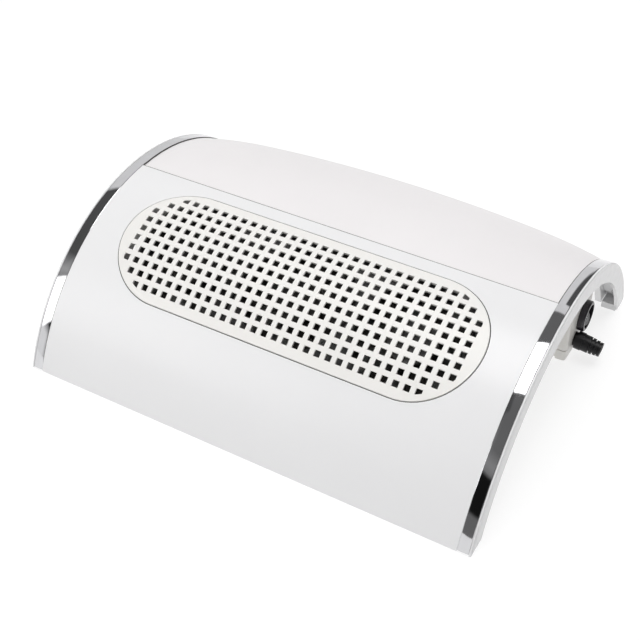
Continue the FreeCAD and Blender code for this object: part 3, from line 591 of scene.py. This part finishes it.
def chrome_strip(side):
    """Plated trim that follows the arch; its section is turned about the arch's axis."""
    section = strip_profile()
    rings = []
    for k in range(STRIP_STEPS + 1):
        angle = STRIP_FRONT + (STRIP_REAR - STRIP_FRONT) * k / STRIP_STEPS
        rings.append([on_arch(radius, angle, side * (STRIP_INNER_X + across))
                      for across, radius in section])
    name = "chrome_strip_right" if side > 0 else "chrome_strip_left"
    piece = new_object(name.replace("chrome", "plated"), skin(name, rings, caps=True))
    edges = piece.modifiers.new("edges", "EDGE_SPLIT")
    edges.split_angle = math.radians(STRIP_CORNER)
    paint(piece, "chrome_trim")
    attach(piece, "base")
    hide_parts(name)


# ---- dark beads: painted shade in the gaps round the hand rest and the grille ----------------
SHADE_BEAD_R = 0.30 * MM
SHADE_BEAD_SIDES = 8
PAD_SHADE_BEAD_DEPTH = 0.05 * MM              # from the shell's face down to the bead
PAD_SHADE_BEAD_GAP = 0.14                     # degrees from the pad's edge to the bead's middle
PAD_SHADE_BEAD_STEPS = 60                     # along each side
RECESS_END_X = 153.5 * MM               # where the pad's recess ends
GRILLE_HALF, GRILLE_END = 129.2 * MM, 42.712 * MM     # the grille's outline
GRILLE_SEAT_R = 145.1 * MM              # the ledge that it rests on
GRILLE_SHADE_BEAD_GAP = 0.3 * MM              # from the grille's edge to the bead's middle
GRILLE_SHADE_BEAD_POINTS = 400


def bead(name, path, ride):
    """A thin round dark bead along a closed path on the arch: painted shade along a gap."""
    rings = []
    count = len(path)
    for k, point in enumerate(path):
        out = arch_out(point)
        ahead = (path[(k + 1) % count] - path[k - 1]).normalized()
        side = ahead.cross(out).normalized()
        turns = [2 * math.pi * j / SHADE_BEAD_SIDES for j in range(SHADE_BEAD_SIDES)]
        rings.append([point + (out * math.sin(t) + side * math.cos(t)) * SHADE_BEAD_R
                      for t in turns])
    rings.append(rings[0])
    piece = new_object(name, skin(name, rings))
    piece.data.materials.append(materials["gap_shade_dark"])
    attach(piece, ride)


def pad_shade_bead():
    """Dark bead in the gap between the hand rest's edge and its recess: painted shade that draws the gap as a dark
    line.
    """
    radius = SHELL_R - SHADE_BEAD_R - PAD_SHADE_BEAD_DEPTH
    half = (pad_high.x + RECESS_END_X) / 2
    front, rear = PAD_FRONT - PAD_SHADE_BEAD_GAP, PAD_REAR + PAD_SHADE_BEAD_GAP
    corners = [(front, -half), (front, half), (rear, half), (rear, -half)]
    path = []
    for (angle, x), (next_angle, next_x) in zip(corners, corners[1:] + corners[:1]):
        for k in range(PAD_SHADE_BEAD_STEPS):
            path.append(on_arch(radius, angle + (next_angle - angle) * k / PAD_SHADE_BEAD_STEPS,
                                x + (next_x - x) * k / PAD_SHADE_BEAD_STEPS))
    bead("pad_shade_bead", path, "base")


def grille_shade_bead():
    """Dark bead on the ledge round the grille, at the bottom of the gap: painted shade that darkens the gap."""
    radius = GRILLE_SEAT_R + SHADE_BEAD_R
    outline = stadium(GRILLE_HALF + GRILLE_SHADE_BEAD_GAP, GRILLE_END + GRILLE_SHADE_BEAD_GAP,
                      GRILLE_SHADE_BEAD_POINTS)
    path = [on_slope(x, s, math.sqrt(radius ** 2 - s ** 2)) for x, s, _, _ in outline]
    bead("grille_shade_bead", path, "base")


# ---- dust bag ------------------------------------------------------------------------------
COLLAR_HALF, COLLAR_END = 122.0 * MM, 41.0 * MM      # the collar the bag hangs on
COLLAR_TOP, COLLAR_LOW = 105.5 * MM, 93.5 * MM       # out along the slope from the arch's axis
BAND_LEVEL = 97.0 * MM                  # where the elastic draws the cloth in
BAG_CLEAR = 3.6 * MM                    # cloth to collar
BAG_POINTS = 280                        # round each ring
BAG_STEPS = 4                           # rings from one section to the next
BAG_PLEATS = 70
PLEAT_WANDER = 0.37                     # how fast the pleats' spacing wanders, radians a point
BAG_FLOOR = 2.4 * MM                    # the lowest that the cloth's middle comes
BAG_CLOTH = 0.6 * MM                    # its thickness

# Rings of its mouth, from the top: distance out from the collar, level and depth of the pleats.
BAG_NECK = [
    (BAG_CLEAR + 0.5 * MM, COLLAR_TOP - 2.6 * MM, 0.55 * MM),
    (BAG_CLEAR + 0.1 * MM, BAND_LEVEL + 4.0 * MM, 0.50 * MM),
    (BAG_CLEAR - 0.1 * MM, BAND_LEVEL, 0.40 * MM),
    (BAG_CLEAR + 0.6 * MM, COLLAR_LOW - 2.0 * MM, 0.55 * MM),
]

# Slot-shaped sections of its body, from the top: half width, half depth, tilt about X in
# degrees, y and z.  Lengths are in millimetres.
BAG_BODY = [
    (127.0, 54.0, 17.0, -40.5, 27.0),
    (126.0, 63.0, 9.0, -38.5, 18.5),
    (123.0, 66.5, 3.0, -37.5, 10.5),
    (119.0, 65.0, 1.0, -37.0, 5.6),
    (111.0, 57.0, 0.0, -37.0, 3.0),
    (92.0, 38.0, 0.0, -37.0, 2.6),
    (60.0, 12.0, 0.0, -37.0, 2.5),
]


def body_ring(half, end, tilt, y, z):
    """A slot-shaped ring of the bag's body, tilted about X and moved to y and z."""
    turn = Matrix.Rotation(math.radians(tilt), 3, "X")
    return [turn @ Vector((px, py, 0)) + Vector((0, y, z))
            for px, py, _, _ in stadium(half, end, BAG_POINTS)]


def neck_ring(spread, level, pleat):
    """A ring of cloth round the collar, gathered into pleats by the elastic."""
    ring = []
    outline = stadium(COLLAR_HALF + spread, COLLAR_END + spread, BAG_POINTS)
    for k, (px, py, out_x, out_y) in enumerate(outline):
        wander = math.sin(k * PLEAT_WANDER)
        swell = pleat * math.cos(2 * math.pi * BAG_PLEATS * k / BAG_POINTS + wander)
        ring.append(on_slope(px + out_x * swell, py + out_y * swell, level))
    return ring


def between(p, q, r, s, t):
    """A smooth curve through four points, at a share t of the way from the second to the third."""
    return 0.5 * ((2 * q) + (r - p) * t + (2 * p - 5 * q + 4 * r - s) * t * t
                  + (3 * q - p - 3 * r + s) * t ** 3)


def bag_rings():
    """The bag's rings from its mouth down, and how many of them the collar holds."""
    keys = [neck_ring(*row) for row in BAG_NECK]
    keys += [body_ring(half * MM, end * MM, tilt, y * MM, z * MM)
             for half, end, tilt, y, z in BAG_BODY]
    rings = []
    for i in range(len(keys) - 1):
        before, after = keys[max(i - 1, 0)], keys[min(i + 2, len(keys) - 1)]
        for step in range(BAG_STEPS):
            four = zip(before, keys[i], keys[i + 1], after)
            rings.append([between(*points, step / BAG_STEPS) for points in four])
    rings.append(keys[-1])
    return rings, (len(BAG_NECK) - 1) * BAG_STEPS + 1


def dust_bag():
    """Cloth bag: gathered at its mouth, hanging slack, its bottom close to the table."""
    rings, held_rings = bag_rings()
    rings = [[Vector((p.x, p.y, max(p.z, BAG_FLOOR))) for p in ring] for ring in rings]
    points = [p for ring in rings for p in ring]
    faces = []
    for i in range(len(rings) - 1):
        for j in range(BAG_POINTS):
            k = (j + 1) % BAG_POINTS
            a, b = i * BAG_POINTS, (i + 1) * BAG_POINTS
            faces.append((a + j, b + j, b + k, a + k))
    faces += bottom_strip(len(rings) - 1)
    mesh = bpy.data.meshes.new("bag")
    mesh.from_pydata(points, [], faces)
    pinned = [index < held_rings * BAG_POINTS for index in range(len(points))]
    piece = new_object("filter_bag", mesh)
    simulate_cloth(piece, pinned, pressure=0.15, frames=24, cap=4.0 * MM,
                   gravity=0.6, shrink=-0.035, floor_z=BAG_FLOOR)
    subdivide(piece, 1)
    thicken(piece, BAG_CLOTH)
    paint(piece, "bag_fabric")
    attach(piece, "bag")
    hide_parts("dust_bag")


def bottom_strip(row):
    """Faces that close the last ring along the middle of the bag's bottom."""
    start = row * BAG_POINTS
    half = BAG_POINTS // 2
    faces = []
    for j in range(half - 1):
        a, b = start + j, start + j + 1
        c = start + (2 * half - 2 - j) % BAG_POINTS
        d = start + (2 * half - 1 - j) % BAG_POINTS
        faces.append((a, d, c, b) if c != b else (a, d, b))
    return faces


ELASTIC_LOW, ELASTIC_HIGH = 96.7 * MM, 100.3 * MM
ELASTIC_EASE = 0.4 * MM                 # height of its eased corners
# Its section: distance out from the collar and level.
ELASTIC_SECTION = [
    (1.1 * MM, ELASTIC_LOW), (2.3 * MM, ELASTIC_LOW), (2.6 * MM, ELASTIC_LOW + ELASTIC_EASE),
    (2.6 * MM, ELASTIC_HIGH - ELASTIC_EASE), (2.3 * MM, ELASTIC_HIGH), (1.1 * MM, ELASTIC_HIGH),
]
ELASTIC_POINTS = 560
ELASTIC_RIPPLES = 140
ELASTIC_RIPPLE = 0.10 * MM


def elastic_band():
    """Elastic round the collar, rippled where it is gathered."""
    rings = []
    for spread, level in ELASTIC_SECTION:
        ring = []
        outline = stadium(COLLAR_HALF + spread, COLLAR_END + spread, ELASTIC_POINTS)
        for k, (px, py, out_x, out_y) in enumerate(outline):
            turn = 2 * math.pi * ELASTIC_RIPPLES * k / ELASTIC_POINTS
            ripple = ELASTIC_RIPPLE * math.sin(turn)
            ring.append(on_slope(px + out_x * ripple, py + out_y * ripple, level))
        rings.append(ring)
    rings.append(rings[0])
    piece = new_object("elastic_band", skin("elastic_band", rings))
    paint(piece, "elastic_white")
    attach(piece, "bag")
    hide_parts("bag_elastic")


# ---- marks on the rocker --------------------------------------------------------------------
ROCKER_PIVOT = Vector(joints["switch_press"]["pos_m"])
ROCKER_REST = -12.0                     # degrees of tilt at rest
ROCKER_FACE = (4.25 * MM, 3.65 * MM)    # middle of half its face, out and up from the pivot
ROCKER_LEAN = math.degrees(math.atan2(1.3, 7.3))     # how far each half leans, 1.3 mm in 7.3 mm
MARK_THICK = 0.06 * MM                  # how far a mark stands out
BAR_HALF = (0.3 * MM, 1.5 * MM)         # across and up
RING_INNER, RING_OUTER = 0.95 * MM, 1.5 * MM
RING_POINTS = 40


def on_rocker(across, up, out, half):
    """Point on the upper (1) or lower (-1) half of the rocker's face, from its middle."""
    face = Matrix.Rotation(math.radians(ROCKER_LEAN * half), 3, "Y")
    middle = Vector((ROCKER_FACE[0], 0, ROCKER_FACE[1] * half))
    local = face @ Vector((out, across, up)) + middle
    return Matrix.Rotation(math.radians(ROCKER_REST), 3, "Y") @ local + ROCKER_PIVOT


def rocker_marks():
    """A bar for on and a ring for off, printed on the rocker."""
    low, high = -MARK_THICK, MARK_THICK
    wide, tall = BAR_HALF
    bar = [(-wide, -tall), (wide, -tall), (wide, tall), (-wide, tall)]
    layers = [[on_rocker(across, up, out, 1) for across, up in bar] for out in (low, high)]
    save_mark("mark_on", skin("mark_on", layers, caps=True))
    section = [(RING_OUTER, low), (RING_OUTER, high), (RING_INNER, high), (RING_INNER, low)]
    rings = []
    for radius, out in section + section[:1]:
        ring = []
        for k in range(RING_POINTS):
            a = 2 * math.pi * k / RING_POINTS
            ring.append(on_rocker(radius * math.cos(a), radius * math.sin(a), out, -1))
        rings.append(ring)
    save_mark("mark_off", skin("mark_off", rings))


def save_mark(name, mesh):
    piece = new_object(name, mesh, smooth=False)
    piece.data.materials.append(materials["mark_grey"])
    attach(piece, "rocker")


# ---- stage, light and camera --------------------------------------------------------------
FLOOR_HALF = 8.0
FLOOR_DARK, FLOOR_LIGHT = (0.295, 0.295, 0.295), (0.305, 0.305, 0.305)
FLOOR_GLOW = 0.74                       # brings the floor close to white


def floor():
    """Plain pale floor; its own faint glow keeps it even."""
    half = FLOOR_HALF
    mesh = bpy.data.meshes.new("floor")
    corners = [(-half, -half, 0), (half, -half, 0), (half, half, 0), (-half, half, 0)]
    mesh.from_pydata(corners, [], [(0, 1, 2, 3)])
    piece = new_object("floor", mesh, smooth=False)
    material, principled = shader("floor_white", FLOOR_LIGHT, 0.8, Specular_IOR_Level=0.0)
    tinted(material, principled, noise(material, 3.0), FLOOR_DARK, FLOOR_LIGHT)
    principled.inputs["Emission Color"].default_value = (1, 1, 1, 1)
    principled.inputs["Emission Strength"].default_value = FLOOR_GLOW
    piece.data.materials.append(material)


# The studio's walls, soft boxes and flags, laid one over another on an even sky.  Each has the
# azimuth (from the front, -Y, towards +X) and elevation of its middle, how far it is turned, all
# in degrees, its half width and half height as tangents, the softness of its edge, and its
# brightness.
ROOM = 0.165                            # brightness of the rest of the sky
SKY_TINT = (1.0, 0.998, 1.0)
SOFT_BOXES = [
    ("rear_wall", -118, 0, 0, 0.466, 1.54, 0.04, 0.86),
    ("right_rear_wall", -160, 0, -39, 1.30, 0.89, 0.04, 0.86),
    ("rear_flag", -205, 12, 0, 0.654, 0.80, 0.03, 0.10),
    ("left_wall", -85, 12, 0, 0.55, 0.30, 0.30, 0.60),
    ("left_flag", -82, 52, 0, 0.39, 0.36, 0.05, 0.10),
    ("right_wall", 70, 20, 0, 1.10, 0.70, 0.60, 0.13),
    ("front_glow", -13, 37, 0, 0.50, 0.07, 0.12, 0.30),
    ("front_flag", -12, 21.5, 0, 0.34, 0.185, 0.04, 0.01),
    ("left_fade", -50, 40, 37, 0.26, 0.05, 0.20, 0.55),
    ("front_left_low", -42, 5, 0, 0.24, 0.16, 0.10, 0.95),
    ("front_left_box", -40.5, 26.5, 37, 0.185, 0.20, 0.03, 2.8),
    ("overhead_box", 180, 88, 0, 0.37, 0.265, 0.03, 5.4),
]


def direction(azimuth, elevation):
    """Unit vector; azimuth is from the front, -Y, towards +X."""
    a, e = math.radians(azimuth), math.radians(elevation)
    return Vector((math.sin(a) * math.cos(e), -math.cos(a) * math.cos(e), math.sin(e)))


def arithmetic(tree, operation, first, second=None, clamp=False):
    """A Math node's result; each input is a number or another node's output."""
    node = tree.nodes.new("ShaderNodeMath")
    node.operation = operation
    node.use_clamp = clamp
    for socket, value in zip(node.inputs, (first, second)):
        if isinstance(value, (int, float)):
            socket.default_value = value
        elif value is not None:
            tree.links.new(value, socket)
    return node.outputs[0]


def along(tree, sky, axis):
    """How far the sky's direction reaches along an axis."""
    node = tree.nodes.new("ShaderNodeVectorMath")
    node.operation = "DOT_PRODUCT"
    tree.links.new(sky, node.inputs[0])
    node.inputs[1].default_value = axis
    return node.outputs["Value"]


BOX_REACH = 0.02        # cosine from a box's middle, below which the sky is behind its plane


def soft_box(tree, sky, behind, azimuth, elevation, turn, half_width, half_height,
             softness, brightness):
    """Lays one soft-edged rectangle over the brightness behind it."""
    middle = direction(azimuth, elevation)
    across = Vector((math.cos(math.radians(azimuth)), math.sin(math.radians(azimuth)), 0))
    across.rotate(Quaternion(middle, math.radians(turn)))
    upward = across.cross(middle)
    depth = along(tree, sky, middle)
    safe = arithmetic(tree, "MAXIMUM", depth, BOX_REACH)
    cover = arithmetic(tree, "GREATER_THAN", depth, BOX_REACH)
    for axis, half in ((across, half_width), (upward, half_height)):
        tangent = arithmetic(tree, "DIVIDE", along(tree, sky, axis), safe)
        place = arithmetic(tree, "ABSOLUTE", tangent)
        inside = arithmetic(tree, "SUBTRACT", half + softness / 2, place)
        share = arithmetic(tree, "DIVIDE", inside, softness, clamp=True)
        cover = arithmetic(tree, "MULTIPLY", cover, share)
    change = arithmetic(tree, "SUBTRACT", brightness, behind)
    return arithmetic(tree, "ADD", behind, arithmetic(tree, "MULTIPLY", cover, change))


def studio():
    """The sky that lights the object and is mirrored in it."""
    world = bpy.data.worlds.new("studio")
    bpy.context.scene.world = world
    world.use_nodes = True
    tree = world.node_tree
    sky = tree.nodes.new("ShaderNodeTexCoord").outputs["Generated"]
    glow = ROOM
    for _, *settings in SOFT_BOXES:
        glow = soft_box(tree, sky, glow, *settings)
    background = tree.nodes["Background"]
    background.inputs["Color"].default_value = (*SKY_TINT, 1)
    tree.links.new(glow, background.inputs["Strength"])
    bpy.context.scene.view_settings.view_transform = "Standard"


# Soft lamps near enough to fade across the object: place, aim, power in watts and colour.
LAMP_SIZE = 0.30
LAMPS = [
    ("left_lamp", (-0.42, -0.36, 0.42), (-0.06, -0.08, 0.05), 0.30, (1.0, 0.985, 0.945)),
    ("front_lamp", (-0.03, -0.30, 0.34), (-0.02, -0.10, 0.05), 0.15, (1.0, 1.0, 1.0)),
    ("high_lamp", (0.20, -0.90, 1.50), (0.0, 0.0, 0.05), 2.60, (1.0, 1.0, 1.0)),
    ("rear_lamp", (0.26, 0.28, 0.34), (0.15, 0.03, 0.08), 0.24, (1.0, 0.99, 1.0)),
]


def lamp(name, place, aim, power, colour):
    """A square soft lamp that isn't mirrored in the object."""
    data = bpy.data.lights.new(name, "AREA")
    data.size = LAMP_SIZE
    data.energy = power
    data.color = colour
    holder = bpy.data.objects.new(name, data)
    bpy.context.scene.collection.objects.link(holder)
    holder.location = place
    holder.rotation_mode = "QUATERNION"
    holder.rotation_quaternion = (Vector(aim) - Vector(place)).to_track_quat("-Z", "Y")
    holder.visible_glossy = False


CAMERA_AT = Vector((0.2940, -0.5418, 0.5274))
CAMERA_AIM = Vector((-0.0180, 0.0053, 0.0))
CAMERA_ROLL = 0.19          # degrees
CAMERA_LENS = 64.65         # mm
CAMERA_SENSOR = 36.0        # mm


def camera():
    data = bpy.data.cameras.new("camera")
    data.lens = CAMERA_LENS
    data.sensor_width = CAMERA_SENSOR
    data.clip_start, data.clip_end = 0.01, 50.0
    holder = bpy.data.objects.new("camera", data)
    bpy.context.scene.collection.objects.link(holder)
    holder.location = CAMERA_AT
    holder.rotation_mode = "QUATERNION"
    aim = (CAMERA_AIM - CAMERA_AT).to_track_quat("-Z", "Y")
    holder.rotation_quaternion = aim @ Quaternion((0, 0, 1), math.radians(CAMERA_ROLL))
    bpy.context.scene.camera = holder


paint_frame()
hand_rest()
for side in (-1, 1):
    chrome_strip(side)
pad_shade_bead()
grille_shade_bead()
dust_bag()
elastic_band()
rocker_marks()
floor()
studio()
for name, *settings in LAMPS:
    lamp(name, *settings)
camera()
